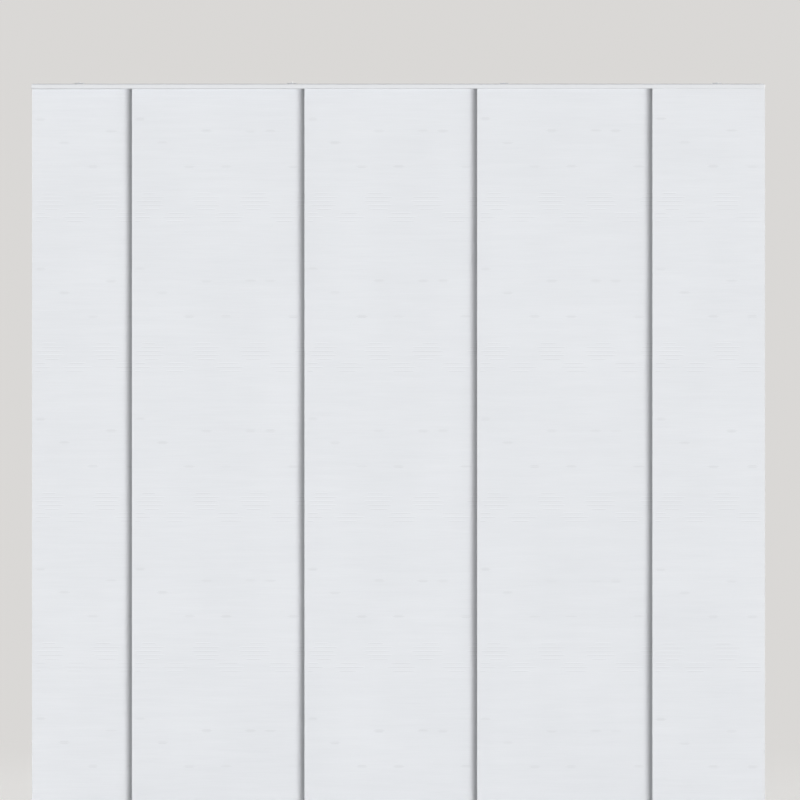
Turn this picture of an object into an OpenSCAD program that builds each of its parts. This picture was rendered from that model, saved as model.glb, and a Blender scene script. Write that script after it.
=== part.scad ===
// Panel track blind: flat fabric panels that slide past one another, each hung from a
// wheeled carrier rail that runs in its own channel of one shallow track on the wall.
// X runs along the track, +Y points to the wall and +Z points up.
// The origin lies on the wall, in the middle of the bracket screws.

/* [Panels] */
// Width of the two end panels
end_panel_w = 360; // [250:1:600]
// Width of the three middle panels
mid_panel_w = 597; // [400:1:900]
// How much of each panel the next one in front covers, counted from the left
overlaps = [39.5, 44.5, 44.5, 37]; // [10:0.5:90]
// Drop from the top of the track to the lower edge of the panels
drop = 2388; // [900:1:3200]
// Thickness of the fabric
fabric_t = 0.5; // [0.3:0.05:1]
// Gap between the underside of the track and the top edge of the fabric
fabric_gap = 0.8; // [0.6:0.1:2.5]
// Height of the sewn strip that closes the hem pocket
hem_strip_h = 8; // [4:0.5:20]
// Height over which the back of the hem slopes in to the sewn strip
hem_slope_h = 10; // [6:0.5:25]

/* [Weave] */
// Height of one repeat of the slub bands
slub_repeat = 480; // [400:10:900]
// Distance from the loop tape down to the first slub band
slub_start = 306; // [20:1:480]
// Distance from one group of slubs to the next in a row
slub_pitch = 160; // [130:1:240]
// How far the groups of the lower row sit to the right of the upper ones
slub_shift = 78; // [0:1:120]
// Number of slubs in a group of the upper row
slub_upper = 5; // [3:1:6]
// Number of slubs in a group of the lower row
slub_lower = 3; // [2:1:4]
// Height from one slub of a group to the next
slub_step = 12.6; // [6:0.1:14]
// Length of the longest slubs in a group
slub_l = 100; // [40:1:110]
// Length of the shortest slub of a group, as a share of the longest
slub_taper = 0.35; // [0.2:0.05:1]
// How much the slubs of a group differ in length, as a share
slub_uneven = 0.15; // [0:0.01:0.3]
// How far a group strays along its row to either side
slub_stray = 16; // [0:1:24]
// Length of a single slub
slub_short_l = 38; // [15:1:60]
// Number of single slubs above each band of a middle panel
slub_singles = 9; // [0:1:16]
// Height from a band up to the single slubs above it
slub_single_gap = 82; // [20:1:100]
// Height of the zone that the single slubs are scattered over
slub_single_h = 190; // [60:1:200]
// Number of rows that the single slubs of a zone lie on
slub_single_rows = 5; // [1:1:8]
// Thickness of a slub, up the panel
slub_t = 2.4; // [0.8:0.1:3]
// How far a slub stands out from the fabric
slub_h = 0.2; // [0.1:0.05:0.4]
// Plain border left free of slubs at the sides of a panel
slub_margin = 9; // [4:1:30]

/* [Track] */
// Clearance between the top of the wheels and the roof
roof_clear = 2.1; // [1:0.1:6]
// Distance from one channel to the next
channel_pitch = 16; // [15:0.1:24]
// Thickness of the walls between the channels
web_t = 1.4; // [1:0.1:2]
// Thickness of the roof
roof_t = 1.4; // [1:0.1:2]
// Thickness of the lips that the wheels run on
lip_t = 1.4; // [1:0.1:2]
// Width of the slot between the two lips of a channel
slot_w = 5.4; // [4.8:0.1:6.2]
// Radius of the outer edges of the track
track_edge_r = 1; // [0.3:0.1:1.3]
// Distance between the two clip ribs on the roof, outside to outside
rib_span = 26; // [20:0.5:40]
// Clearance between the roof and what is held over it by the clip ribs
rib_clear = 0.4; // [0.2:0.1:2]
// Thickness of the clip ribs
rib_t = 1.4; // [1:0.1:2]
// How far the hooked edge of a clip rib reaches out
rib_lip_w = 1.8; // [1.2:0.1:3]
// Thickness of the hooked edge of a clip rib
rib_lip_t = 1; // [0.6:0.1:1.4]

/* [End caps] */
// Thickness of the plate on each end of the track
end_plate_t = 3; // [2:0.1:6]
// Length of the plugs that reach into the channels and stop the trolleys
end_plug_l = 8; // [4:0.5:16]
// Thickness of the walls of a plug
end_plug_wall = 1.8; // [1.2:0.1:3]
// Clearance of a plug in its channel, on each side
end_plug_clear = 0.15; // [0.05:0.05:0.4]

/* [Carriers] */
// Height of the front face of a carrier rail below its hook tape
carrier_skirt = 5; // [3:0.5:15]
// Thickness of the head of a carrier rail
carrier_head_t = 9; // [8.4:0.1:9.4]
// Thickness of the walls of a carrier rail
carrier_wall = 1.4; // [1:0.1:1.5]
// Thickness of the lips over the groove of a carrier rail
carrier_lip_t = 1.2; // [0.8:0.1:2]
// Height of the groove in the head of a carrier rail
groove_h = 4; // [3:0.1:6]
// Width of the slot into the groove
groove_slot_w = 3.4; // [2.8:0.1:4]
// Depth of the stiffening return at the foot of a carrier rail
carrier_return = 5; // [3:0.5:8]
// Size of the fillet under the head of a carrier rail
carrier_fillet = 2.4; // [1:0.1:4]
// Gap between the underside of the track and a carrier rail
carrier_gap = 3; // [2.8:0.1:8]
// Thickness of the end caps of a carrier rail
carrier_cap_t = 1.5; // [1:0.1:3]
// Length of the plug of a carrier end cap
carrier_plug_l = 5; // [3:0.5:6]
// Clearance of pieces that push into the groove, on each side
groove_clear = 0.15; // [0.05:0.05:0.3]

/* [Tapes] */
// Height of the hook and loop tapes
tape_h = 20; // [12:0.5:22]
// Thickness of the hook tape on a carrier rail
hook_t = 1; // [0.6:0.1:1.5]
// Thickness of the loop tape on the fabric
loop_t = 1; // [0.6:0.1:1.5]
// Height of the beads that keep the hook tape in line
bead_h = 0.5; // [0.2:0.1:0.9]
// Width of the beads that keep the hook tape in line
bead_w = 0.9; // [0.6:0.1:1.5]
// Distance from the top of a carrier rail to its hook tape
tape_drop = 3; // [2:0.1:4]
// Distance from the side of a panel to the end of its loop tape
tape_inset = 4; // [2:0.5:20]

/* [Trolleys] */
// Length of a trolley along the track
trolley_l = 18; // [14:0.5:30]
// Clearance of the body of a trolley in its slot, on each side
slot_clear = 0.5; // [0.2:0.05:0.8]
// Radius of the corners of a trolley
trolley_corner_r = 2; // [0.5:0.1:3]
// Clearance between the body of a trolley and the lips below it
trolley_clear = 0.8; // [0.4:0.1:1.5]
// How far the top of a trolley stays below the top of its wheels
trolley_low = 0.6; // [0.2:0.1:1]
// Length of the neck of a trolley
neck_l = 12; // [8:0.5:14]
// Radius of the wheels
wheel_r = 4; // [3.4:0.05:4.2]
// Width of the wheels
wheel_w = 2.6; // [2:0.1:2.8]
// Bevel on the edges of the tread
wheel_bevel = 0.3; // [0.1:0.05:0.5]
// Depth of the dish in the outer face of a wheel
wheel_dish = 0.5; // [0.2:0.05:1]
// Radius of the axle stubs
axle_r = 1.25; // [1:0.05:1.4]
// Radial clearance of a wheel on its axle stub
axle_clear = 0.06; // [0.04:0.01:0.1]
// Width of the shoulder that keeps a wheel off the trolley body
shoulder_w = 0.7; // [0.5:0.1:0.9]
// How far the shoulder stands out round the axle stub
shoulder_h = 0.9; // [0.5:0.1:1.4]
// How far the head of an axle stub stands out round it
axle_head_h = 0.45; // [0.3:0.05:0.8]
// Thickness of the head that keeps a wheel on its stub
axle_head_t = 0.6; // [0.4:0.1:0.8]
// Side clearance of a wheel between the shoulder and the head
wheel_side_clear = 0.1; // [0.05:0.05:0.2]
// Clearance under a wheel
run_clear = 0.1; // [0.05:0.05:0.3]
// Gap left between a trolley and an end plug at the end of its travel
stop_gap = 0.4; // [0.2:0.1:2]

/* [Weight bars] */
// Height of a weight bar
bar_h = 26; // [16:0.5:40]
// Thickness of a weight bar
bar_t = 5; // [4:0.1:6]
// Thickness of the wall of a weight bar
bar_wall = 1; // [0.6:0.1:1.4]
// Clearance round a weight bar in its hem
bar_clear = 0.2; // [0.1:0.05:0.5]
// Thickness of the plate of a bar end cap
bar_cap_t = 2; // [1:0.1:4]
// Length of the tongue of a bar end cap
bar_tongue_l = 12; // [6:0.5:30]
// Clearance of the tongue of a bar end cap, on each side
bar_tongue_clear = 0.15; // [0.05:0.05:0.3]
// Distance from the side of a panel to the end of its bar
bar_inset = 1; // [0.5:0.5:10]

/* [Brackets] */
// Distance from the wall to the back of the track
wall_gap = 32; // [20:1:120]
// Distance from the end of the track to the middle of the first bracket
bracket_inset = 149.5; // [60:0.5:260]
// Number of brackets
bracket_count = 4; // [2:1:6]
// Width of a bracket
bracket_w = 30; // [22:1:50]
// Thickness of the bracket steel
bracket_t = 2; // [1.5:0.1:3]
// Inside radius of the bend
bend_r = 2; // [1:0.1:4]
// Distance between the two wall holes of a bracket
wall_hole_gap = 24; // [16:1:40]
// Radius of the wall holes
wall_hole_r = 2.6; // [2:0.1:3.5]
// Distance from the lower wall hole to the end of the leg
wall_hole_edge = 10; // [7:0.5:16]
// Distance from the upper wall hole to the top of the bracket
wall_hole_top = 14; // [11:0.5:30]
// Radius of the corners of a bracket
bracket_corner_r = 5; // [2:0.5:9]
// Distance from the clip screw to the front end of the bracket
bracket_nose = 13; // [10:0.5:18]
// Length of the slot for the clip screw, between its two ends' centres
slot_travel = 12; // [4:0.5:20]
// Size of the stiffening web in the bend
gusset = 14; // [8:0.5:18]
// Thickness of the stiffening web
gusset_t = 3; // [2:0.1:6]

/* [Clips] */
// Length of a clip along the track
clip_l = 26; // [18:0.5:40]
// Thickness of the clip steel
clip_t = 0.8; // [0.6:0.1:1]
// How far a clip hook slopes out as a press tab
clip_tab = 4; // [2:0.5:8]
// Clearance between a clip and the ribs it holds
clip_clear = 0.15; // [0.1:0.05:0.3]
// Radius of the shank of a clip screw
screw_r = 2; // [1.5:0.1:2.5]
// Radius of the head of a clip screw
screw_head_r = 3.6; // [3:0.1:5]
// Height of the head of a clip screw
screw_head_h = 2; // [1.4:0.1:3]
// Clearance round a clip screw in its holes
screw_clear = 0.15; // [0.05:0.05:0.4]
// Clearance of a clip screw in its nut
thread_clear = 0.04; // [0.02:0.01:0.08]
// Distance across the flats of a clip nut
nut_flats = 7; // [6:0.1:8.5]
// Height of a clip nut
nut_h = 2.2; // [1.5:0.1:2.2]

/* [Hidden] */
$fn = 48;
panel_count = len(overlaps) + 1;
ids = [for (i = [0 : panel_count - 1]) i];

// Panels across the track, the rearmost at the left and the foremost at the right.
function panel_w(i) = i == 0 || i == panel_count - 1 ? end_panel_w : mid_panel_w;
function shown_w(i) = panel_w(i) - (i < panel_count - 1 ? overlaps[i] : 0);
function run_to(i) = i < 0 ? 0 : run_to(i - 1) + shown_w(i);
span = run_to(panel_count - 1);
function panel_x0(i) = -span / 2 + run_to(i - 1);

// Heights, from the bracket down to the hem.
channel_h = 2 * wheel_r + run_clear + roof_clear;
track_h = roof_t + channel_h + lip_t;
rib_h = rib_clear + max(nut_h, rib_lip_t + clip_clear + clip_t);
carrier_h = tape_drop + tape_h + carrier_skirt;
bracket_top = wall_hole_gap / 2 + wall_hole_top;
clip_top = bracket_top - bracket_t;
rib_top = clip_top - clip_t;
track_top = rib_top - rib_h;
track_foot = track_top - track_h;
run_z = track_foot + lip_t;
carrier_top = track_foot - carrier_gap;
carrier_foot = carrier_top - carrier_h;
fabric_top = track_foot - fabric_gap;
hem_foot = track_top - drop;

// Depths, from the wall to the front of the track.
track_depth = panel_count * channel_pitch + web_t;
track_mid = -wall_gap - track_depth / 2;
channel_w = channel_pitch - web_t;
function channel_y(i) = -wall_gap - web_t / 2 - channel_pitch * (i + 0.5);
track_l = span - 2 * end_plate_t;

// Carrier rail, measured from the middle of its channel and from its own top.
groove_w = carrier_head_t - 2 * carrier_wall;
head_h = carrier_lip_t + groove_h + carrier_wall;
face_y = -carrier_head_t / 2;
hook_y = face_y - hook_t;
fabric_back = hook_y - loop_t;
fabric_front = fabric_back - fabric_t;
tape_top = carrier_top - tape_drop;

// Trolley and wheels.
trolley_t = slot_w - 2 * slot_clear;
trolley_inset = end_plate_t + end_plug_l + stop_gap + trolley_l / 2;
axle_z = run_z + wheel_r + run_clear;
trolley_foot = run_z + trolley_clear;
trolley_top = axle_z + wheel_r - trolley_low;
wheel_y = trolley_t / 2 + shoulder_w + wheel_side_clear;
stub_y = wheel_y + wheel_w + wheel_side_clear;
foot_w = groove_w - 2 * groove_clear;
foot_h = groove_h - 2 * groove_clear;
neck_t = groove_slot_w - 2 * groove_clear;

// Hem pocket and weight bar.
pocket_t = bar_t + 2 * bar_clear;
pocket_mid = fabric_back + pocket_t / 2;
pocket_r = pocket_t / 2;
bar_foot = hem_foot + fabric_t + bar_clear;
hem_back_top = bar_foot + bar_h + bar_clear;
strip_foot = hem_back_top + hem_slope_h;
strip_top = strip_foot + hem_strip_h;

// Brackets.
bracket_gap = (track_l - 2 * bracket_inset) / (bracket_count - 1);
function bracket_x(i) = -track_l / 2 + bracket_inset + i * bracket_gap;
clip_half = rib_span / 2 + rib_lip_w + clip_clear;

function panel_names(i) = [for (p = ["carrier", "carrier_caps", "trolleys", "left_wheels", "right_wheels",
    "hook_tape", "loop_tape", "fabric", "weight_bar", "bar_caps"]) str("panel_", i + 1, "_", p)];

white_coat = [0.93, 0.94, 0.95];
white_moulding = [0.9, 0.91, 0.92];
silver = [0.76, 0.77, 0.79];
steel = [0.62, 0.63, 0.65];
cloth = [0.89, 0.9, 0.92];
tape_white = [0.84, 0.85, 0.86];

// Steady scatter between 0 and 1, so that the weave looks hand spun.
function scatter(n) = let (s = sin(n * 127.1) * 437.58) s - floor(s);
function swing(n) = 2 * scatter(n) - 1;

// A section drawn in Y and Z, run along X from x0 over a length.
module along_x(x0, l) {
    translate([x0, 0, 0])
        rotate([90, 0, 90])
            linear_extrude(l)
                children();
}

// A rectangle from its lower corner, with its four corners rounded.
module soft_rect(p, s, r) {
    translate(p) {
        translate([r, 0])
            square([s[0] - 2 * r, s[1]]);
        translate([0, r])
            square([s[0], s[1] - 2 * r]);
        for (x = [r, s[0] - r])
            for (y = [r, s[1] - r])
                translate([x, y])
                    circle(r);
    }
}

// An upright slot shape with fully round ends, on its own middle.
module stadium(w, h) {
    translate([-w / 2, -h / 2 + w / 2])
        square([w, h - w]);
    for (s = [-1, 1])
        translate([0, s * (h - w) / 2])
            circle(w / 2);
}

// Track

// Outline of the track without its ribs, from the rear wall to the front wall.
module track_outline() {
    soft_rect([track_mid - track_depth / 2, track_foot], [track_depth, track_h], track_edge_r);
}

module track_section() {
    difference() {
        track_outline();
        for (i = ids) {
            translate([channel_y(i) - channel_w / 2, run_z])
                square([channel_w, channel_h]);
            translate([channel_y(i) - slot_w / 2, track_foot - 1])
                square([slot_w, lip_t + 2]);
        }
    }
    for (s = [-1, 1]) {
        translate([track_mid + s * (rib_span - rib_t) / 2 - rib_t / 2, track_top - roof_t / 2])
            square([rib_t, rib_h + roof_t / 2]);
        translate([track_mid + s * (rib_span + rib_lip_w - rib_t) / 2, rib_top - rib_lip_t / 2])
            square([rib_lip_w + rib_t, rib_lip_t], center = true);
    }
}

module track() {
    color(white_coat)
        along_x(-track_l / 2, track_l)
            track_section();
}

// One plug of an end cap, cored from above, from the plate into a channel.
module end_plug(i) {
    w = channel_w - 2 * end_plug_clear;
    h = channel_h - 2 * end_plug_clear;
    translate([0, channel_y(i) - w / 2, run_z + end_plug_clear])
        difference() {
            translate([-end_plate_t / 2, 0, 0])
                cube([end_plug_l + end_plate_t / 2, w, h]);
            for (y = [end_plug_wall, w / 2 + end_plug_wall / 2])
                translate([0, y, end_plug_wall])
                    cube([end_plug_l - end_plug_wall, (w - 3 * end_plug_wall) / 2, h]);
        }
}

// End cap of the left end: a plate with softened outer edges and one plug to each channel.
module end_cap() {
    intersection() {
        along_x(-end_plate_t, end_plate_t)
            track_outline();
        translate([0, 0, track_foot - 1])
            linear_extrude(track_h + 2)
                soft_rect([-end_plate_t, track_mid - track_depth / 2],
                    [end_plate_t + 2 * track_edge_r, track_depth], track_edge_r);
    }
    for (i = ids)
        end_plug(i);
}

module left_end_cap() {
    color(white_moulding)
        translate([-track_l / 2, 0, 0])
            end_cap();
}

module right_end_cap() {
    color(white_moulding)
        translate([track_l / 2, 0, 0])
            mirror([1, 0, 0])
                end_cap();
}

// Brackets and clips

// Side view of a bracket: a leg on the wall, a bend and an arm over the track.
module bracket_side() {
    arm = -track_mid + bracket_nose;
    out_r = bend_r + bracket_t;
    leg_foot = -wall_hole_gap / 2 - wall_hole_edge;
    translate([-bracket_t, leg_foot])
        square([bracket_t, bracket_top - out_r - leg_foot]);
    translate([-arm, bracket_top - bracket_t])
        square([arm - out_r, bracket_t]);
    translate([-out_r, bracket_top - out_r])
        intersection() {
            difference() {
                circle(out_r);
                circle(bend_r);
            }
            square(out_r);
        }
}

// Cuts that round the two corners of a plate end: the corner is at the end of local +X.
module corner_cuts(w, t, r) {
    for (s = [-1, 1])
        translate([-r, s * (w / 2 - r), -1])
            difference() {
                translate([0, s > 0 ? 0 : -r - 1, 0])
                    cube([r + 1, r + 1, t + 2]);
                translate([0, 0, -1])
                    cylinder(r = r, h = t + 4);
            }
}

module bracket(i) {
    leg_foot = -wall_hole_gap / 2 - wall_hole_edge;
    color(white_coat)
        translate([bracket_x(i), 0, 0])
            difference() {
                union() {
                    along_x(-bracket_w / 2, bracket_w)
                        bracket_side();
                    along_x(-gusset_t / 2, gusset_t)
                        polygon([
                            [-bracket_t / 2, bracket_top - bracket_t - gusset],
                            [-bracket_t - bend_r, bracket_top - bracket_t / 2],
                            [-bracket_t - gusset, bracket_top - bracket_t / 2],
                            [-bracket_t, bracket_top - bracket_t - gusset - bracket_t]]);
                }
                for (s = [-1, 1])
                    translate([0, 1, s * wall_hole_gap / 2])
                        rotate([90, 0, 0])
                            cylinder(r = wall_hole_r, h = bracket_t + 2);
                translate([0, track_mid, bracket_top - bracket_t - 1]) {
                    for (s = [-1, 1])
                        translate([0, s * slot_travel / 2, 0])
                            cylinder(r = screw_r + screw_clear, h = bracket_t + 2);
                    translate([-screw_r - screw_clear, -slot_travel / 2, 0])
                        cube([2 * (screw_r + screw_clear), slot_travel, bracket_t + 2]);
                }
                translate([0, track_mid - bracket_nose, bracket_top - bracket_t])
                    rotate([0, 0, -90])
                        corner_cuts(bracket_w, bracket_t, bracket_corner_r);
                translate([0, 0, leg_foot])
                    rotate([90, 90, 0])
                        corner_cuts(bracket_w, bracket_t, bracket_corner_r);
            }
}

// Side view of a spring clip: a plate over the ribs, a hook round each of them and a press tab in front.
module clip_side() {
    hook_z = rib_top - rib_lip_t - clip_clear - clip_t;
    hook_l = rib_lip_w + clip_t;
    translate([-clip_half - clip_t, rib_top])
        square([2 * (clip_half + clip_t), clip_t]);
    for (s = [0, 1])
        mirror([s, 0]) {
            translate([clip_half, hook_z])
                square([clip_t, rib_top + clip_t / 2 - hook_z]);
            translate([clip_half + clip_t - hook_l, hook_z])
                square([hook_l, clip_t]);
        }
    translate([-clip_half - clip_t - clip_tab, hook_z])
        square([clip_tab + clip_t, clip_t]);
}

module clips() {
    color(steel)
        for (i = [0 : bracket_count - 1])
            difference() {
                along_x(bracket_x(i) - clip_l / 2, clip_l)
                    translate([track_mid, 0])
                        clip_side();
                translate([bracket_x(i), track_mid, rib_top - 1])
                    cylinder(r = screw_r + screw_clear, h = clip_t + 2);
            }
}

module clip_screws() {
    color(steel)
        for (i = [0 : bracket_count - 1])
            translate([bracket_x(i), track_mid, 0])
                difference() {
                    union() {
                        translate([0, 0, bracket_top])
                            cylinder(r = screw_head_r, h = screw_head_h);
                        translate([0, 0, rib_top - nut_h])
                            cylinder(r = screw_r, h = bracket_top - rib_top + nut_h + screw_head_h / 4);
                    }
                    for (a = [45, 135])
                        translate([0, 0, bracket_top + screw_head_h / 2])
                            rotate([0, 0, a])
                                translate([-screw_head_r * 0.6, -screw_head_h / 4, 0])
                                    cube([screw_head_r * 1.2, screw_head_h / 2, screw_head_h]);
                }
}

module clip_nuts() {
    color(steel)
        for (i = [0 : bracket_count - 1])
            translate([bracket_x(i), track_mid, rib_top - nut_h])
                difference() {
                    cylinder(r = nut_flats / sqrt(3), h = nut_h, $fn = 6);
                    translate([0, 0, -1])
                        cylinder(r = screw_r + thread_clear, h = nut_h + 2);
                }
}

// Carriers

// Corners of a bead on the front face of a carrier rail, from its foot up.
function bead_points(z) = [
    [face_y, z], [face_y - bead_h, z], [face_y - bead_h, z + bead_w], [face_y, z + bead_w]];

// Outer shape of a carrier rail: a head, a flat face and a return at its foot.
// The beads keep the tape in line.
module carrier_outline(beads) {
    wall_y = face_y + carrier_wall;
    head_foot = carrier_top - head_h;
    polygon(concat(
        [[face_y, carrier_top],
        [carrier_head_t / 2, carrier_top],
        [carrier_head_t / 2, head_foot],
        [wall_y + carrier_fillet, head_foot],
        [wall_y, head_foot - carrier_fillet],
        [wall_y, carrier_foot + carrier_wall],
        [face_y + carrier_return, carrier_foot + carrier_wall],
        [face_y + carrier_return, carrier_foot],
        [face_y, carrier_foot]],
        beads ? bead_points(tape_top - tape_h - groove_clear - bead_w) : [],
        beads ? bead_points(tape_top + groove_clear) : []));
}

module carrier(i) {
    groove_foot = carrier_top - carrier_lip_t - groove_h;
    color(silver)
        along_x(panel_x0(i) + carrier_cap_t, panel_w(i) - 2 * carrier_cap_t)
            translate([channel_y(i), 0])
                difference() {
                    carrier_outline(true);
                    translate([-groove_w / 2, groove_foot])
                        square([groove_w, groove_h]);
                    translate([-groove_slot_w / 2, groove_foot + groove_h / 2])
                        square([groove_slot_w, carrier_lip_t + groove_h]);
                }
}

module carrier_caps(i) {
    plug_x = panel_w(i) / 2 - carrier_cap_t - carrier_plug_l;
    plug_z = carrier_top - carrier_lip_t - foot_h - groove_clear;
    color(white_moulding)
        for (s = [0, 1])
            translate([panel_x0(i) + panel_w(i) / 2, 0, 0])
                mirror([s, 0, 0]) {
                    along_x(panel_w(i) / 2 - carrier_cap_t, carrier_cap_t)
                        translate([channel_y(i), 0])
                            carrier_outline(false);
                    along_x(plug_x, carrier_plug_l + carrier_cap_t / 2)
                        translate([channel_y(i) - foot_w / 2, plug_z])
                            square([foot_w, foot_h]);
                }
}

module hook_tape(i) {
    color(tape_white)
        translate([panel_x0(i) + carrier_cap_t, channel_y(i) + hook_y, tape_top - tape_h])
            cube([panel_w(i) - 2 * carrier_cap_t, hook_t, tape_h]);
}

module loop_tape(i) {
    color(tape_white)
        translate([panel_x0(i) + tape_inset, channel_y(i) + fabric_back, tape_top - tape_h])
            cube([panel_w(i) - 2 * tape_inset, loop_t, tape_h]);
}

// Trolleys and wheels

function trolley_x(i, s) = panel_x0(i) + panel_w(i) / 2 + s * (panel_w(i) / 2 - trolley_inset);

// Body of a trolley: a rounded plate between the wheels, a neck through the slot and a foot in the groove.
module trolley() {
    rotate([90, 0, 0])
        linear_extrude(trolley_t, center = true)
            soft_rect([-trolley_l / 2, trolley_foot],
                [trolley_l, trolley_top - trolley_foot], trolley_corner_r);
    translate([-neck_l / 2, -trolley_t / 2, carrier_top])
        cube([neck_l, trolley_t, trolley_foot + trolley_corner_r - carrier_top]);
    translate([-neck_l / 2, -neck_t / 2, carrier_top - carrier_lip_t - foot_h / 2])
        cube([neck_l, neck_t, carrier_lip_t + foot_h]);
    translate([-neck_l / 2, -foot_w / 2, carrier_top - carrier_lip_t - foot_h])
        cube([neck_l, foot_w, foot_h]);
    translate([0, 0, axle_z])
        rotate([90, 0, 0]) {
            cylinder(r = axle_r, h = 2 * stub_y + axle_head_t, center = true);
            cylinder(r = axle_r + shoulder_h, h = trolley_t + 2 * shoulder_w, center = true);
            for (s = [-1, 1])
                translate([0, 0, s * (stub_y + axle_head_t / 2)])
                    cylinder(r = axle_r + axle_head_h, h = axle_head_t, center = true);
        }
}

module trolleys(i) {
    color(white_moulding)
        for (s = [-1, 1])
            translate([trolley_x(i, s), channel_y(i), 0])
                trolley();
}

// Section of a wheel from its bore to its tread, with a dished outer face.
module wheel_section() {
    bore = axle_r + axle_clear;
    polygon([
        [bore, 0], [wheel_r - wheel_bevel, 0], [wheel_r, wheel_bevel], [wheel_r, wheel_w - wheel_bevel],
        [wheel_r - wheel_bevel, wheel_w], [wheel_r - 2 * wheel_bevel, wheel_w],
        [wheel_r - 3 * wheel_bevel, wheel_w - wheel_dish], [bore + 3 * wheel_bevel, wheel_w - wheel_dish],
        [bore + 2 * wheel_bevel, wheel_w], [bore, wheel_w]]);
}

module wheels(i, s) {
    color(steel)
        translate([trolley_x(i, s), channel_y(i), axle_z])
            for (a = [-90, 90])
                rotate([a, 0, 0])
                    translate([0, 0, wheel_y])
                        rotate_extrude()
                            wheel_section();
}

// Fabric

// Section of a panel: a flat sheet whose foot turns back and up into a pocket for the weight bar.
module fabric_section() {
    translate([fabric_front, hem_foot + pocket_r + fabric_t])
        square([fabric_t, fabric_top - hem_foot - pocket_r - fabric_t]);
    translate([pocket_mid, hem_foot + pocket_r + fabric_t])
        intersection() {
            difference() {
                circle(pocket_r + fabric_t);
                circle(pocket_r);
            }
            translate([-2 * pocket_r - 2, -2 * pocket_r - 2])
                square([4 * pocket_r + 4, 2 * pocket_r + 2]);
        }
    translate([pocket_mid + pocket_r, hem_foot + pocket_r + fabric_t])
        square([fabric_t, hem_back_top - hem_foot - pocket_r - fabric_t]);
    polygon([
        [pocket_mid + pocket_r, hem_back_top], [pocket_mid + pocket_r + fabric_t, hem_back_top],
        [fabric_back + fabric_t, strip_foot], [fabric_back, strip_foot]]);
    translate([fabric_back - fabric_t / 2, strip_foot])
        square([1.5 * fabric_t, hem_strip_h]);
}

// One slub: a thick stretch of yarn that stands out of the front of the fabric.
module slub(x, z, l) {
    translate([x, -slub_h, z])
        cube([l, slub_h + fabric_t / 2, slub_t]);
}

// A slub of length l round the middle x on a panel of width w, cut off at the plain borders.
module slub_within(w, x, z, l) {
    x0 = max(slub_margin, x - l / 2);
    x1 = min(w - slub_margin, x + l / 2);
    if (x1 - x0 > slub_short_l / 2)
        slub(x0, z, x1 - x0);
}

// One row of groups: each group is widest in its middle, like a spindle, and has count slubs from z down.
module slub_row(w, z, count, shift, key) {
    for (g = [-1 : floor(w / slub_pitch)]) {
        middle = slub_margin + slub_stray * (1 + swing(key + 7 * g)) + slub_l / 2 + shift + g * slub_pitch;
        for (n = [0 : count - 1]) {
            share = slub_taper + (1 - slub_taper) * sin(180 * (n + 0.5) / count);
            own = key + 7 * g + 3 * n;
            slub_within(w, middle + slub_stray * swing(own + 5) / 2, z - n * slub_step,
                slub_l * share * (1 + slub_uneven * swing(own)));
        }
    }
}

// Slub bands over a panel of width w, from z1 down to z0, with single slubs scattered above each of them.
// Every panel is cut from the cloth at the same place, so all of them show the same bands.
module slubs(w, z0, z1) {
    band_h = slub_step * (slub_upper + slub_lower - 1) + slub_t;
    count = floor(slub_singles * w / mid_panel_w);
    for (top = [z1 - slub_start : -slub_repeat : z0 - slub_single_gap]) {
        if (top - band_h > z0) {
            slub_row(w, top - slub_t, slub_upper, 0, 1);
            slub_row(w, top - slub_t - slub_upper * slub_step, slub_lower, slub_shift, 32);
        }
        for (n = [0 : 1 : count - 1]) {
            row = floor(slub_single_rows * scatter(5 * n + 3));
            z = top + slub_single_gap + row * slub_single_h / slub_single_rows;
            x = slub_margin + (w - 2 * slub_margin) * (n + 0.1 + 0.8 * scatter(11 * n + 6)) / count;
            if (z > z0 && z + slub_t < z1)
                slub_within(w, x, z, slub_short_l);
        }
    }
}

module fabric(i) {
    color(cloth) {
        along_x(panel_x0(i), panel_w(i))
            translate([channel_y(i), 0])
                fabric_section();
        translate([panel_x0(i), channel_y(i) + fabric_front, 0])
            slubs(panel_w(i), strip_top + slub_step, tape_top - tape_h);
    }
}

// Weight bars

// Middle of the bar of panel i, seen from the side.
function bar_mid(i) = [channel_y(i) + pocket_mid, bar_foot + bar_h / 2];

module weight_bar(i) {
    inset = bar_inset + bar_cap_t;
    color(silver)
        along_x(panel_x0(i) + inset, panel_w(i) - 2 * inset)
            translate(bar_mid(i))
                difference() {
                    stadium(bar_t, bar_h);
                    stadium(bar_t - 2 * bar_wall, bar_h - 2 * bar_wall);
                }
}

module bar_caps(i) {
    slack = bar_wall + bar_tongue_clear;
    end_x = panel_w(i) / 2 - bar_inset - bar_cap_t;
    color(white_moulding)
        for (s = [0, 1])
            translate([panel_x0(i) + panel_w(i) / 2, 0, 0])
                mirror([s, 0, 0]) {
                    along_x(end_x, bar_cap_t)
                        translate(bar_mid(i))
                            stadium(bar_t, bar_h);
                    along_x(end_x - bar_tongue_l, bar_tongue_l + bar_cap_t / 2)
                        translate(bar_mid(i))
                            stadium(bar_t - 2 * slack, bar_h - 2 * slack);
                }
}

track();
left_end_cap();
right_end_cap();
clips();
clip_screws();
clip_nuts();
for (i = [0 : bracket_count - 1])
    bracket(i);
for (i = ids) {
    names = panel_names(i);
    carrier(i);
    carrier_caps(i);
    trolleys(i);
    wheels(i, -1);
    wheels(i, 1);
    hook_tape(i);
    loop_tape(i);
    fabric(i);
    weight_bar(i);
    bar_caps(i);
}
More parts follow.
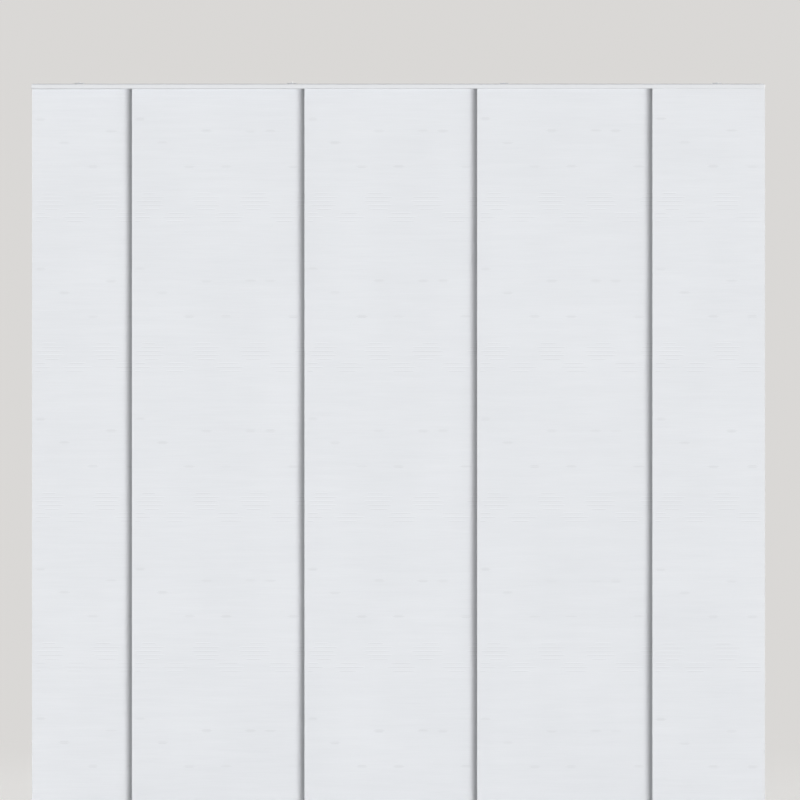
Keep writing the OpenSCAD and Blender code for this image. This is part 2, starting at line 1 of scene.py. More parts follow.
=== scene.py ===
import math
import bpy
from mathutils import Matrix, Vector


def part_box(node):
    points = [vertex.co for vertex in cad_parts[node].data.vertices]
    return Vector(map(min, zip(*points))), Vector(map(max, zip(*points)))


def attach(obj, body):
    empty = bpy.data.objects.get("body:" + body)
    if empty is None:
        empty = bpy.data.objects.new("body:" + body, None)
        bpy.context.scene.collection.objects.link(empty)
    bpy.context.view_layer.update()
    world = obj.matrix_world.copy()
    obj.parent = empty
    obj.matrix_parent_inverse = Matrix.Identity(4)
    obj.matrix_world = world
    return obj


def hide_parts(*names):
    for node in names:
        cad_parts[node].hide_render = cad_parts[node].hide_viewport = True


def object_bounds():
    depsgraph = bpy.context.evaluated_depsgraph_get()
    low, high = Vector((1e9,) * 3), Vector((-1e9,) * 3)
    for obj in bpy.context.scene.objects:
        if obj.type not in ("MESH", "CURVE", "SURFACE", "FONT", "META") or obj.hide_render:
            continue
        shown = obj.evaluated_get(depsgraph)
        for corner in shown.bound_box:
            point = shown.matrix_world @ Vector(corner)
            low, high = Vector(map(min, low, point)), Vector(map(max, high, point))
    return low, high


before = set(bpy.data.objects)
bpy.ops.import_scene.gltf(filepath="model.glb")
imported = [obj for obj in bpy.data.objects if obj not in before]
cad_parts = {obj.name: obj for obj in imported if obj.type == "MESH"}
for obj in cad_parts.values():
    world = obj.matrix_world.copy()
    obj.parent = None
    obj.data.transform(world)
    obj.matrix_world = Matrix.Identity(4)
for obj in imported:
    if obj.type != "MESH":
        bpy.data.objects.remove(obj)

# Panel track blind: five flat slub-weave panels on wheeled carriers in a white five-channel track.
# Lengths are in metres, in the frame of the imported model. The rigid pieces come from the frame and
# get their finishes here; the cloth, its slub yarns and its sewing are made here.
from types import SimpleNamespace

import bpy
import numpy as np
from mathutils import Vector

cad_low, cad_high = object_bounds()

MM = 0.001
PANELS = (1, 2, 3, 4, 5)

# Cloth and hem
CLOTH_T = 0.5 * MM
TOP_RISE = 0.5 * MM
BAR_CLEAR = 0.2 * MM
HEM_SLOPE = 10 * MM
HEM_STRIP = 8 * MM
LAYER_GAP = 0.02 * MM
COLUMN_STEP = 15 * MM
FALL_ROWS = 141
TURN_ROWS = 13
BACK_ROWS = 5
STRIP_ROWS = 3
SHARP_DEGREES = 40

# How the hung cloth bows: depth and length of its two waves, and their drift and shift in radians
BOW_FADE = 240 * MM
BOW_ACROSS = 0.30 * MM
BOW_ACROSS_L = 330 * MM
BOW_ACROSS_SHIFT = 1.3
BOW_DRIFT = 0.6
BOW_DRIFT_L = 1700 * MM
BOW_DOWN = 0.35 * MM
BOW_DOWN_L = 920 * MM
BOW_DOWN_SHIFT = 2.1

# Slub yarns, laid out as in the part's source
SLUB_REPEAT = 480 * MM
SLUB_START = 306 * MM
SLUB_PITCH = 160 * MM
SLUB_SHIFT = 78 * MM
SLUB_UPPER = 5
SLUB_LOWER = 3
SLUB_STEP = 12.6 * MM
SLUB_L = 100 * MM
SLUB_TAPER = 0.35
SLUB_UNEVEN = 0.15
SLUB_STRAY = 16 * MM
SLUB_SHORT_L = 38 * MM
SLUB_SINGLES = 9
SLUB_SINGLE_GAP = 82 * MM
SLUB_SINGLE_H = 190 * MM
SLUB_SINGLE_ROWS = 5
SLUB_T = 2.4 * MM
SLUB_RISE = 0.2 * MM
SLUB_MARGIN = 9 * MM
WIDE_PANEL = 597 * MM

# Painted shade close under the slubs of the groups, openings in the weave beside the single slubs, and the
# tones of slubs, painted shade and openings, from grey at 0 to white at 1
FLAT_RISE = 0.05 * MM
UNDER_SHADE_SHARE = 0.92
SINGLE_OPEN_T = 4 * MM
SINGLE_OPEN_SHARE = 0.72
YARN_TONE = 0.67
# Tone of the painted shade close under the yarns of the groups
UNDER_SHADE_TONE = 0.14
SINGLE_TONE = 0.18
SINGLE_OPEN_TONE = 0.31
TONE_STRAY = 0.1

# Sewing
STITCH_PITCH = 3.2 * MM
STITCH_L = 2.6 * MM
STITCH_T = 0.55 * MM
STITCH_RISE = 0.22 * MM
SEAM_INSET = 3 * MM

# Spindles: how full their ends are, and their points along and around
SPINDLE_FILL = 0.99
SLUB_MESH = (7, 6)
STITCH_MESH = (4, 5)

# Finishes
WEAVE_PITCH = 1.8 * MM
HOOK_PITCH = 1.3 * MM
THREAD_TWIST = 0.35 * MM
TRACK_WHITE = (0.735, 0.75, 0.774)
DUST = (0.60, 0.585, 0.56)
DUST_SHARE = 0.22

# View and light
VIEW_LENS = 400.0
VIEW_SENSOR = 36.0
VIEW_FROM = (0.0060, -28.524, -0.9884)
VIEW_REACH = 100.0
FILL = 0.35
BACKDROP = (0.70, 0.687, 0.672)
FLOOR_REACH = 9.0
FLOOR_FADE = (0.45, 0.9)
FLOOR_GAP = 12 * MM
FLOOR_LIFT = 0.24
# Far soft lamps: degrees to the right of the front, degrees up, degrees wide, and strength
LAMPS = {
    "side_light_1": (29, -5, 14, 0.40), "side_light_2": (39, -5, 14, 0.60),
    "side_light_3": (47, -5, 14, 0.94), "side_light_4": (56, -5, 14, 0.92),
    "back_light": (205, 10, 25, 1.5), "top_light": (180, 82, 30, 0.8)}


def smooth(t):
    """Smooth step: 0 below 0, 1 above 1, and 3 t squared less 2 t cubed between them."""
    t = np.clip(t, 0.0, 1.0)
    return t * t * (3.0 - 2.0 * t)


def scatter(n):
    """Steady scatter from 0 to 1: what is left after the point of 437.58 times the sine of 127.1 n
    degrees, as in the part's source."""
    s = np.sin(np.radians(np.asarray(n, float) * 127.1)) * 437.58
    return s - np.floor(s)


def swing(n):
    """Steady scatter from -1 to 1."""
    return 2 * scatter(n) - 1


def panel_facts(number):
    """Where the cloth of one panel runs, read from the boxes of its pieces in the frame."""
    name = f"panel_{number}"
    cloth_low, cloth_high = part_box(f"{name}_fabric")
    tape_low, tape_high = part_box(f"{name}_loop_tape")
    bar_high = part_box(f"{name}_weight_bar")[1]
    back_y = tape_low.y
    pocket_r = (cloth_high.y - CLOTH_T - back_y) / 2
    hem_back_top = bar_high.z + BAR_CLEAR
    strip_foot = hem_back_top + HEM_SLOPE
    return SimpleNamespace(
        name=name, number=number, x0=cloth_low.x, x1=cloth_high.x, width=cloth_high.x - cloth_low.x,
        top=cloth_high.z + TOP_RISE, back_y=back_y, front_y=back_y - CLOTH_T,
        pocket_r=pocket_r, pocket_y=back_y + pocket_r, turn_z=cloth_low.z + pocket_r + CLOTH_T,
        hem_back_top=hem_back_top, strip_foot=strip_foot, strip_top=strip_foot + HEM_STRIP,
        tape_top=tape_high.z, tape_foot=tape_low.z)


def bow(p, x, z):
    """How far the hung cloth bows in depth at (x, z): a long sine across the width whose phase drifts with
    height, plus a longer one down the drop, both faded out by smooth steps at the tape and at the hem."""
    turn = 2 * math.pi
    free = smooth((p.tape_foot - z) / BOW_FADE) * smooth((z - p.strip_top) / BOW_FADE)
    phase = BOW_ACROSS_SHIFT * p.number + BOW_DRIFT * np.sin(turn * z / BOW_DRIFT_L)
    across = BOW_ACROSS * np.sin(turn * (x - p.x0) / BOW_ACROSS_L + phase)
    down = BOW_DOWN * np.sin(turn * z / BOW_DOWN_L + BOW_DOWN_SHIFT * p.number)
    return free * (across + down)


def make_piece(name, points, faces, body, finish):
    """A closed mesh at the origin from points (n, 3) and arrays of corner numbers, one array for each
    number of corners; it rides on a body and takes the finish given."""
    corners = np.concatenate([f.ravel() for f in faces]).astype(np.int32)
    sizes = np.concatenate([np.full(len(f), f.shape[1]) for f in faces])
    starts = (np.cumsum(sizes) - sizes).astype(np.int32)
    mesh = bpy.data.meshes.new(name)
    mesh.vertices.add(len(points))
    mesh.vertices.foreach_set("co", points.astype(np.float32).ravel())
    mesh.loops.add(len(corners))
    mesh.loops.foreach_set("vertex_index", corners)
    mesh.polygons.add(len(starts))
    mesh.polygons.foreach_set("loop_start", starts)
    mesh.update(calc_edges=True)
    mesh.validate()
    mesh.shade_smooth()
    mesh.set_sharp_from_angle(angle=math.radians(SHARP_DEGREES))
    mesh.materials.append(finish)
    piece = bpy.data.objects.new(name, mesh)
    bpy.context.scene.collection.objects.link(piece)
    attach(piece, body)
    return piece


def grid_quads(index):
    """Quads of a grid of corner numbers: each cell taken down its rows first, then across its columns."""
    return np.stack([index[:-1, :-1], index[1:, :-1], index[1:, 1:], index[:-1, 1:]], -1).reshape(-1, 4)


def cloth_path(p):
    """Middle line of the cloth seen from the side, as rows of (y, z): straight down the front, half round
    the foot of the pocket on a circle, up the back, forward on a slope, and up the sewn strip."""
    r = p.pocket_r + CLOTH_T / 2
    front_y, back_y = p.back_y - CLOTH_T / 2, p.pocket_y + r
    strip_y = p.back_y + CLOTH_T / 2 + LAYER_GAP
    angle = np.linspace(math.pi, 2 * math.pi, TURN_ROWS)
    front = np.linspace((front_y, p.top), (front_y, p.turn_z), FALL_ROWS)
    turn = np.column_stack([p.pocket_y + r * np.cos(angle), p.turn_z + r * np.sin(angle)])
    back = np.linspace((back_y, p.turn_z), (back_y, p.hem_back_top), BACK_ROWS)
    slope = np.linspace((back_y, p.hem_back_top), (strip_y, p.strip_foot), BACK_ROWS)
    strip = np.linspace((strip_y, p.strip_foot), (strip_y, p.strip_top), STRIP_ROWS)
    return np.vstack([front, turn[1:], back[1:], slope[1:], strip[1:]])


def out_of_pocket(path):
    """Unit normals of a side path that point away from the pocket: the mean of the two steps beside a row,
    each turned a quarter."""
    step = np.diff(path, axis=0)
    step /= np.linalg.norm(step, axis=1, keepdims=True)
    turned = np.column_stack([step[:, 1], -step[:, 0]])
    both = np.vstack([turned[:1], turned[:-1] + turned[1:], turned[-1:]])
    return both / np.linalg.norm(both, axis=1, keepdims=True)


def hang_cloth(p, finish):
    """The cloth of a panel: its side path carried across the width in even columns, half the cloth's
    thickness out to either side, bowed in depth, and closed along all its cut edges."""
    path = cloth_path(p)
    normal = out_of_pocket(path)
    x = np.linspace(p.x0, p.x1, int(round(p.width / COLUMN_STEP)) + 1)
    side = np.array([0.5, -0.5])[:, None, None] * CLOTH_T
    rows, columns = len(path), len(x)
    z = path[None, :, 1, None] + side * normal[None, :, 1, None] + 0 * x
    y = path[None, :, 0, None] + side * normal[None, :, 0, None] + bow(p, x, z)
    points = np.stack([np.broadcast_to(x, z.shape), y, z], -1).reshape(-1, 3)
    outer, inner = np.arange(2 * rows * columns).reshape(2, rows, columns)

    def edge(a, b):
        """Quads that join two rows of corner numbers along a cut edge."""
        return np.stack([a[:-1], b[:-1], b[1:], a[1:]], -1)

    faces = [np.concatenate([
        grid_quads(outer), grid_quads(inner)[:, ::-1],
        edge(outer[:, 0], inner[:, 0]), edge(inner[:, -1], outer[:, -1]),
        edge(inner[0], outer[0]), edge(outer[-1], inner[-1])])]
    cloth = make_piece(f"{p.name}_cloth", points, faces, p.name, finish)
    length = np.linalg.norm(np.diff(path, axis=0), axis=1).sum()
    return cloth, (float(p.width), float(length))


def spindles(p, name, middle, half_l, half_t, rise, tone, counts, finish):
    """Closed spindles along X, laid on the bowed cloth: each is an ellipse of half_t by rise, carried along
    u, the sine of even steps from -1 to 1, and sized by the root of 1 less (fill times u) to the fourth.
    Counts gives the points along and around, and each spindle's tone is kept with its points."""
    stations, around = counts
    u = np.sin(np.linspace(-math.pi / 2, math.pi / 2, stations))
    size = np.sqrt(1 - (SPINDLE_FILL * u) ** 4)
    angle = 2 * math.pi * np.arange(around) / around
    ones = np.ones(around)
    half_l, half_t, rise = (np.broadcast_to(v, len(middle))[:, None, None] for v in (half_l, half_t, rise))
    x = middle[:, 0, None, None] + half_l * u[None, :, None] * ones
    z = middle[:, 2, None, None] + half_t * size[None, :, None] * np.sin(angle)
    y = middle[:, 1, None, None] - rise * size[None, :, None] * np.cos(angle) + bow(p, x, z)
    points = np.stack([x, y, z], -1).reshape(-1, 3)
    index = np.arange(len(points)).reshape(len(middle), stations, around)
    ring = np.concatenate([index, index[:, :, :1]], 2)
    walls = np.stack([ring[:, :-1, :-1], ring[:, 1:, :-1], ring[:, 1:, 1:], ring[:, :-1, 1:]], -1)
    ends = np.concatenate([index[:, 0], index[:, -1, ::-1]])
    piece = make_piece(f"{p.name}_{name}", points, [walls.reshape(-1, 4), ends], p.name, finish)
    held = piece.data.attributes.new("tone", "FLOAT", "POINT")
    held.data.foreach_set("value", np.repeat(tone, stations * around).astype(np.float32))
    return piece


def slub_row(p, z, count, shift, key):
    """Middle, foot and length of the slubs in one row of groups: the lengths of a group swell and fall as
    half a sine from its first slub to its last, and groups and slubs stray a little along the row."""
    g, n = (a.ravel() for a in np.meshgrid(
        np.arange(-1, int(p.width / SLUB_PITCH) + 1), np.arange(count), indexing="ij"))
    own = key + 7 * g + 3 * n
    stray = SLUB_STRAY * (1 + swing(key + 7 * g) + swing(own + 5) / 2)
    share = SLUB_TAPER + (1 - SLUB_TAPER) * np.sin(math.pi * (n + 0.5) / count)
    return (SLUB_MARGIN + SLUB_L / 2 + shift + g * SLUB_PITCH + stray, z - n * SLUB_STEP,
            SLUB_L * share * (1 + SLUB_UNEVEN * swing(own)))


def slub_places(p):
    """Left end, right end and foot of every slub yarn of a panel, and whether it stands single: bands of
    two rows of groups, one to each repeat, and single ones on a few rows above each band, cut off at the
    plain borders. The scatter's keys are those of the part's source."""
    low, high = p.strip_top + SLUB_STEP, p.tape_foot
    band_h = SLUB_STEP * (SLUB_UPPER + SLUB_LOWER - 1) + SLUB_T
    n = np.arange(math.floor(SLUB_SINGLES * p.width / WIDE_PANEL + 1e-6))
    single_x = SLUB_MARGIN + (p.width - 2 * SLUB_MARGIN) * (n + 0.1 + 0.8 * scatter(11 * n + 6)) / len(n)
    row = np.floor(SLUB_SINGLE_ROWS * scatter(5 * n + 3))
    single_z = SLUB_SINGLE_GAP + row * SLUB_SINGLE_H / SLUB_SINGLE_ROWS
    singles, groups = [], []
    for top in np.arange(high - SLUB_START, low - SLUB_SINGLE_GAP, -SLUB_REPEAT):
        singles.append((single_x, top + single_z, np.full(len(n), SLUB_SHORT_L)))
        if top - band_h > low:
            groups.append(slub_row(p, top - SLUB_T, SLUB_UPPER, 0, 1))
            groups.append(slub_row(p, top - SLUB_T - SLUB_UPPER * SLUB_STEP, SLUB_LOWER, SLUB_SHIFT, 32))
    middle, z, length = (np.concatenate(values) for values in zip(*singles, *groups))
    x0 = np.maximum(SLUB_MARGIN, middle - length / 2)
    x1 = np.minimum(p.width - SLUB_MARGIN, middle + length / 2)
    single = np.arange(len(z)) < len(n) * len(singles)
    kept = (x1 - x0 > SLUB_SHORT_L / 2) & (z > low) & (z + SLUB_T < high)
    return x0[kept], x1[kept], z[kept], single[kept]


def lay_slubs(p, finish):
    """The slub yarns of a panel as slim spindles, half sunk in the face of the cloth, pale in the groups
    and greyer where they stand single, with flat spindles beside them: a dark one close under each yarn
    of a group, which is painted shade under the yarn, and a wide soft one on either side of each single
    yarn, where the weave opens."""
    x0, x1, z, single = slub_places(p)
    x, z, half_l = p.x0 + (x0 + x1) / 2, z + SLUB_T / 2, (x1 - x0) / 2
    # Which yarns, the side of them, and the share of length, the thickness, rise and tone of what lies there
    layers = (
        (~single, 0, 1.0, SLUB_T, SLUB_RISE, YARN_TONE),
        # A dark flat strip close under each yarn of a group: painted shade under the yarn
        (~single, -1, UNDER_SHADE_SHARE, SLUB_T, FLAT_RISE, UNDER_SHADE_TONE),
        (single, 0, 1.0, SLUB_T, SLUB_RISE, SINGLE_TONE),
        (single, -1, SINGLE_OPEN_SHARE, SINGLE_OPEN_T, FLAT_RISE, SINGLE_OPEN_TONE),
        (single, 1, SINGLE_OPEN_SHARE, SINGLE_OPEN_T, FLAT_RISE, SINGLE_OPEN_TONE))
    laid = np.vstack([np.column_stack(np.broadcast_arrays(
        x[some], p.front_y, z[some] + side * (SLUB_T + thick) / 2,
        share * half_l[some], thick / 2, rise, tone)) for some, side, share, thick, rise, tone in layers])
    half_l, half_t, rise, tone = laid[:, 3:].T
    tone = tone + TONE_STRAY * swing(29 * p.number + 5 * np.arange(len(tone)))
    return spindles(p, "slub_yarns_and_shade", laid[:, :3], half_l, half_t, rise, tone, SLUB_MESH, finish)


def sew(p, finish):
    """The stitches of a panel: two rows that hold the loop tape and one along the hem strip, each stitch a
    short spindle half sunk in the cloth, on the front and, at the hem, on the back too."""
    count = int((p.width - 2 * SEAM_INSET) / STITCH_PITCH)
    x = (p.x0 + p.x1) / 2 + STITCH_PITCH * (np.arange(count) - (count - 1) / 2)
    hem_z = p.strip_foot + HEM_STRIP / 2
    seams = np.array([
        [p.front_y, p.tape_top - SEAM_INSET], [p.front_y, p.tape_foot + SEAM_INSET],
        [p.front_y, hem_z], [p.back_y + CLOTH_T + LAYER_GAP, hem_z]])
    middle = np.stack(np.broadcast_arrays(x, seams[:, :1], seams[:, 1:]), -1).reshape(-1, 3)
    tone = scatter(3 * np.arange(len(middle)))
    return spindles(p, "stitches", middle, STITCH_L / 2, STITCH_T / 2, STITCH_RISE, tone, STITCH_MESH, finish)


class Finish:
    """A material in the making: its nodes, its shader, and Object coordinates for its patterns."""

    def __init__(self, name, **fixed):
        """Starts a material and sets plain values on its shader."""
        self.material = bpy.data.materials.new(name)
        self.material.use_nodes = True
        self.nodes, self.links = self.material.node_tree.nodes, self.material.node_tree.links
        self.shader = self.nodes["Principled BSDF"]
        for socket, value in fixed.items():
            self.shader.inputs[socket.replace("_", " ")].default_value = value
        self.place = self.nodes.new("ShaderNodeTexCoord").outputs["Object"]

    def put(self, socket, value):
        """Links an output to an input, or sets a plain value on it."""
        if isinstance(value, bpy.types.NodeSocket):
            self.links.new(value, socket)
        else:
            socket.default_value = value

    def add(self, kind, inputs, output=0, **settings):
        """Adds a node, sets its settings and inputs, and gives one of its outputs."""
        node = self.nodes.new("ShaderNode" + kind)
        for name, value in settings.items():
            setattr(node, name, value)
        for name, value in inputs.items():
            self.put(node.inputs[name], value)
        return node.outputs[output]

    def stretched(self, x, y, z):
        """Object coordinates scaled by x, y and z, so that a noise on them is drawn out."""
        return self.add("Mapping", {"Vector": self.place, "Scale": (x, y, z)})

    def noise(self, scale, detail=2.0, place=None):
        """Soft noise from 0 to 1, with features about 1 / scale across."""
        return self.add("TexNoise", {"Vector": place or self.place, "Scale": scale, "Detail": detail})

    def stripes(self, axis, pitch):
        """Even stripes of the given pitch along an axis, from 0 to 1 as a sine, whose angle in the wave node
        is 20 times its scale times the place on the axis."""
        return self.add("TexWave", {"Vector": self.place, "Scale": 2 * math.pi / (20 * pitch)}, 1,
                        wave_type="BANDS", bands_direction=axis, wave_profile="SIN")

    def sums(self, *parts):
        """The sum of (share, value) pairs."""
        total = None
        for share, value in parts:
            value = self.add("Math", {0: value, 1: share}, operation="MULTIPLY")
            total = value if total is None else self.add("Math", {0: total, 1: value}, operation="ADD")
        return total

    def times(self, a, b):
        """The product of two values."""
        return self.add("Math", {0: a, 1: b}, operation="MULTIPLY")

    def between(self, value, low, high, start=0.0, stop=1.0):
        """Value from start to stop, carried over to low to high and held there."""
        return self.add("MapRange", {"Value": value, "From Min": start, "From Max": stop, "To Min": low,
                                     "To Max": high})

    def mixed(self, share, first, second):
        """Colour from first to second by share."""
        node = self.nodes.new("ShaderNodeMix")
        node.data_type = "RGBA"
        self.put(node.inputs["Factor"], share)
        for key, colour in (("A_Color", first), ("B_Color", second)):
            socket = next(s for s in node.inputs if s.identifier == key)
            self.put(socket, colour if isinstance(colour, bpy.types.NodeSocket) else (*colour, 1))
        return next(s for s in node.outputs if s.identifier == "Result_Color")

    def colour(self, value):
        """Gives the shader its colour."""
        self.put(self.shader.inputs["Base Color"], value)

    def rough(self, value):
        """Gives the shader its roughness."""
        self.put(self.shader.inputs["Roughness"], value)

    def raise_by(self, height, distance, strength=1.0):
        """Relief by a height from 0 to 1, of the given depth in metres."""
        self.put(self.shader.inputs["Normal"], self.add(
            "Bump", {"Height": height, "Distance": distance, "Strength": strength}, "Normal"))


def looked_at(nodes, links):
    """1 for rays from the camera, straight or by way of gloss or glass, and 0 for light that spreads."""
    path = nodes.new("ShaderNodeLightPath")
    seen = path.outputs["Is Camera Ray"]
    for other in ("Is Glossy Ray", "Is Transmission Ray"):
        either = nodes.new("ShaderNodeMath")
        either.operation = "MAXIMUM"
        links.new(seen, either.inputs[0])
        links.new(path.outputs[other], either.inputs[1])
        seen = either.outputs[0]
    return seen


def slub_cloth():
    """Plain weave of 0.9 mm yarns that go over and under in turn, as the product of two crossed sines, with
    uneven yarns drawn out across the panel and soft clouds of tone."""
    f = Finish("slub_cloth", Sheen_Weight=0.08, Specular_IOR_Level=0.2, Alpha=0.95)
    crossed = f.times(*(f.between(f.stripes(axis, WEAVE_PITCH), -1, 1) for axis in "XZ"))
    weave = f.between(crossed, 0, 1, -1, 1)
    yarns = f.noise(1.0, 3.0, f.stretched(11, 11, 420))
    bands = f.noise(1.0, 2.0, f.stretched(5, 5, 62))
    clouds = f.noise(4.0, 2.0)
    tone = f.sums((0.25, weave), (0.27, yarns), (0.23, bands), (0.25, clouds))
    f.colour(f.mixed(f.between(tone, 0, 1, 0.31, 0.71), (0.744, 0.763, 0.793), (0.811, 0.829, 0.859)))
    f.rough(f.between(yarns, 0.82, 0.95))
    f.raise_by(f.sums((0.6, weave), (0.4, yarns)), 0.12 * MM, 0.35)
    return f.material


def slub_yarn():
    """Loosely twisted thick yarn: a fine uneven twist, and its own tone for each yarn and each flat strip
    beside one; the strips close under the yarns of the groups are painted shade.
    """
    f = Finish("slub_yarn", Sheen_Weight=0.08, Specular_IOR_Level=0.2)
    tone = f.add("Attribute", {}, "Fac", attribute_name="tone")
    twist = f.noise(1.0, 2.0, f.stretched(500, 500, 1600))
    shade = f.sums((0.9, tone), (0.1, twist))
    f.colour(f.mixed(shade, (0.638, 0.653, 0.677), (0.855, 0.875, 0.908)))
    f.rough(f.between(twist, 0.8, 0.95))
    f.raise_by(twist, 0.1 * MM, 0.5)
    return f.material


def sewing_thread():
    """White spun thread: fine twist stripes across each stitch, and its own tone for each stitch."""
    f = Finish("sewing_thread", Sheen_Weight=0.05, Specular_IOR_Level=0.3)
    tone = f.add("Attribute", {}, "Fac", attribute_name="tone")
    twist = f.stripes("X", THREAD_TWIST)
    f.colour(f.mixed(f.sums((0.5, tone), (0.5, twist)), (0.76, 0.77, 0.79), (0.84, 0.85, 0.87)))
    f.rough(f.between(twist, 0.65, 0.8))
    f.raise_by(twist, 0.05 * MM, 0.5)
    return f.material


def powder_coat(name, tint):
    """Satin powder coat: fine orange peel, faint clouds of tone, and a little dust on what faces up."""
    f = Finish(name, Specular_IOR_Level=0.45)
    peel = f.noise(900.0, 2.0)
    clouds = f.noise(14.0, 3.0)
    up = f.add("SeparateXYZ", {0: f.add("NewGeometry", {}, "Normal")}, "Z")
    specks = f.between(f.noise(55.0, 4.0), 0, DUST_SHARE, 0.35, 0.75)
    dust = f.times(f.between(up, 0, 1, 0.6, 0.95), specks)
    coat = f.mixed(clouds, tuple(0.975 * c for c in tint), tint)
    f.colour(f.mixed(dust, coat, DUST))
    f.rough(f.sums((0.36, 1.0), (0.16, peel), (0.4, dust)))
    f.raise_by(peel, 0.05 * MM, 0.35)
    return f.material


def moulded(name, light, dark, grain):
    """Moulded plastic: a fine spark-eroded grain, faint flow marks and a slightly uneven gloss."""
    f = Finish(name, Specular_IOR_Level=0.5)
    spark = f.noise(grain, 2.0)
    flow = f.noise(1.0, 3.0, f.stretched(60, 200, 120))
    f.colour(f.mixed(f.sums((0.65, flow), (0.35, spark)), dark, light))
    f.rough(f.between(spark, 0.42, 0.58))
    f.raise_by(spark, 0.04 * MM, 0.35)
    return f.material


def drawn_aluminium():
    """Clear anodised extrusion: die lines drawn out along the rail, and a satin sheen between them."""
    f = Finish("drawn_aluminium", Metallic=1.0)
    lines = f.noise(1.0, 3.0, f.stretched(3, 1500, 1500))
    clouds = f.noise(9.0, 2.0)
    f.colour(f.mixed(f.sums((0.7, lines), (0.3, clouds)), (0.70, 0.71, 0.725), (0.80, 0.81, 0.82)))
    f.rough(f.between(lines, 0.3, 0.46))
    f.raise_by(lines, 0.03 * MM, 0.4)
    return f.material


def zinc_plate():
    """Zinc plated steel: small spangles of tone, fine rolling lines and a cool sheen."""
    f = Finish("zinc_plate", Metallic=1.0)
    spangle = f.add("TexVoronoi", {"Vector": f.place, "Scale": 420.0}, "Color")
    grey = f.add("RGBToBW", {0: spangle})
    lines = f.noise(1.0, 2.0, f.stretched(60, 900, 900))
    f.colour(f.mixed(f.sums((0.5, grey), (0.5, lines)), (0.56, 0.57, 0.59), (0.70, 0.71, 0.73)))
    f.rough(f.between(f.sums((0.5, grey), (0.5, lines)), 0.28, 0.48))
    f.raise_by(lines, 0.03 * MM, 0.3)
    return f.material


def hook_strip():
    """Moulded hook tape: rows of small hooks 1.3 mm apart that stand as bright dots on a darker web."""
    f = Finish("hook_strip", Specular_IOR_Level=0.35)
    dots = f.times(f.stripes("X", HOOK_PITCH), f.stripes("Z", HOOK_PITCH))
    uneven = f.noise(700.0, 2.0)
    f.colour(f.mixed(f.sums((0.75, dots), (0.25, uneven)), (0.62, 0.63, 0.645), (0.80, 0.81, 0.82)))
    f.rough(f.between(uneven, 0.6, 0.8))
    f.raise_by(dots, 0.4 * MM, 0.7)
    return f.material


def loop_strip():
    """Loop tape: a soft felt of fine loops, coarse and fine noise together."""
    f = Finish("loop_strip", Sheen_Weight=0.2, Specular_IOR_Level=0.2)
    loops = f.sums((0.6, f.noise(1100.0, 4.0)), (0.4, f.noise(300.0, 3.0)))
    f.colour(f.mixed(loops, (0.70, 0.71, 0.725), (0.82, 0.83, 0.84)))
    f.rough(f.between(loops, 0.85, 0.97))
    f.raise_by(loops, 0.3 * MM, 0.6)
    return f.material


def pale_floor():
    """Pale floor with a faint mottle, lifted towards the backdrop where it is looked at, fading into the
    backdrop's colour away from the blind, and clear from below."""
    f = Finish("pale_floor", Specular_IOR_Level=0.1)
    f.colour(f.mixed(f.noise(3.0, 3.0), (0.74, 0.73, 0.715), (0.76, 0.75, 0.735)))
    f.rough(f.between(f.noise(40.0, 2.0), 0.85, 0.95))
    distance = f.add("VectorMath", {0: f.place}, "Value", operation="LENGTH")
    start, stop = (share * FLOOR_REACH for share in FLOOR_FADE)
    fade = f.add("MapRange", {"Value": distance, "From Min": start, "From Max": stop},
                 interpolation_type="SMOOTHSTEP")
    backdrop = f.add("Emission", {"Color": (*BACKDROP, 1), "Strength": 1.0})
    share = f.times(looked_at(f.nodes, f.links), FLOOR_LIFT)
    lift = f.add("Emission", {"Color": (*BACKDROP, 1), "Strength": share})
    lifted = f.add("AddShader", {0: f.shader.outputs[0], 1: lift})
    top = f.add("MixShader", {0: fade, 1: lifted, 2: backdrop})
    below = f.add("NewGeometry", {}, "Backfacing")
    surface = f.add("MixShader", {0: below, 1: top, 2: f.add("BsdfTransparent", {})})
    f.links.new(surface, f.nodes["Material Output"].inputs["Surface"])
    return f.material


def dress_frame():
    """Gives every piece of the frame its finish by the end of its name."""
    coat = powder_coat("track_coat", TRACK_WHITE)
    bracket = powder_coat("bracket_coat", tuple(0.985 * c for c in TRACK_WHITE))
    moulding = moulded("white_moulding", (0.79, 0.80, 0.82), (0.755, 0.765, 0.785), 1800.0)
    nylon = moulded("grey_nylon", (0.62, 0.63, 0.65), (0.56, 0.57, 0.59), 2600.0)
    rail, plate, hook, loop = drawn_aluminium(), zinc_plate(), hook_strip(), loop_strip()
    finishes = {
        "track": coat, "end_cap": moulding, "clips": plate, "clip_screws": plate, "clip_nuts": plate,
        "carrier": rail, "carrier_caps": moulding, "trolleys": moulding, "wheels": nylon,
        "hook_tape": hook, "loop_tape": loop, "weight_bar": rail, "bar_caps": moulding}
    for name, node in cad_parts.items():
        finish = next((f for end, f in finishes.items() if name.endswith(end)), bracket)
        for slot in node.material_slots:
            slot.material = finish


def hang_panels():
    """Hangs, slubs and sews the cloth of all five panels in place of their plain solids."""
    cloth_finish, yarn_finish, thread_finish = slub_cloth(), slub_yarn(), sewing_thread()
    for number in PANELS:
        p = panel_facts(number)
        cloth, flat = hang_cloth(p, cloth_finish)
        slubs = lay_slubs(p, yarn_finish)
        stitches = sew(p, thread_finish)
        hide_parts(f"{p.name}_fabric")


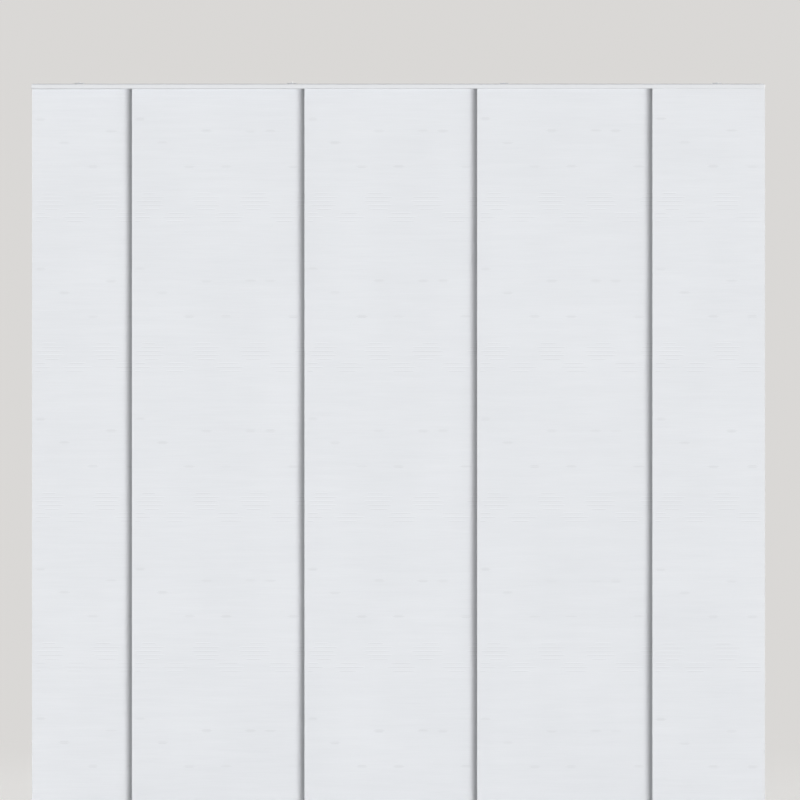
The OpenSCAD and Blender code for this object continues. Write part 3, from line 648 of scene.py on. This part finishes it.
def lay_floor():
    """A square floor a little under the hems, which the low side lights shine through."""
    r, z = FLOOR_REACH, cad_low.z - FLOOR_GAP
    mesh = bpy.data.meshes.new("floor")
    mesh.from_pydata([(-r, -r, z), (r, -r, z), (r, r, z), (-r, r, z)], [], [(0, 1, 2, 3)])
    mesh.materials.append(pale_floor())
    floor = bpy.data.objects.new("floor", mesh)
    bpy.context.scene.collection.objects.link(floor)
    floor.visible_shadow = False


def soft_lamp(name, azimuth, elevation, spread, strength):
    """A far soft lamp: degrees to the right of the front, degrees up, degrees that it spans, and strength."""
    a, e = math.radians(azimuth), math.radians(elevation)
    lamp = bpy.data.lights.new(name, "SUN")
    lamp.energy, lamp.angle = strength, math.radians(spread)
    holder = bpy.data.objects.new(name, lamp)
    toward = Vector((math.sin(a) * math.cos(e), -math.cos(a) * math.cos(e), math.sin(e)))
    holder.rotation_euler = toward.to_track_quat("Z", "Y").to_euler()
    bpy.context.scene.collection.objects.link(holder)


def light_studio():
    """A long low soft light from the right, one from behind, a weak one from above and an even fill; what
    the camera sees beyond the floor is the plain backdrop."""
    for name, lamp in LAMPS.items():
        soft_lamp(name, *lamp)
    world = bpy.data.worlds.new("studio")
    bpy.context.scene.world = world
    world.use_nodes = True
    nodes, links = world.node_tree.nodes, world.node_tree.links
    fill = nodes["Background"]
    fill.inputs["Color"].default_value, fill.inputs["Strength"].default_value = (1, 1, 1, 1), FILL
    plain = nodes.new("ShaderNodeBackground")
    plain.inputs["Color"].default_value, plain.inputs["Strength"].default_value = (*BACKDROP, 1), 1.0
    choose = nodes.new("ShaderNodeMixShader")
    links.new(looked_at(nodes, links), choose.inputs[0])
    links.new(fill.outputs[0], choose.inputs[1])
    links.new(plain.outputs[0], choose.inputs[2])
    links.new(choose.outputs[0], nodes["World Output"].inputs["Surface"])


def set_camera():
    """A long lens square on to the panels, level, from far enough for the photograph's framing."""
    camera = bpy.data.cameras.new("view")
    camera.lens, camera.sensor_width = VIEW_LENS, VIEW_SENSOR
    camera.clip_end = VIEW_REACH
    holder = bpy.data.objects.new("view", camera)
    holder.location = VIEW_FROM
    holder.rotation_euler = (math.pi / 2, 0, 0)
    bpy.context.scene.collection.objects.link(holder)
    bpy.context.scene.camera = holder


set_camera()
hang_panels()
dress_frame()
lay_floor()
light_studio()
bpy.context.scene.view_settings.view_transform = "Standard"
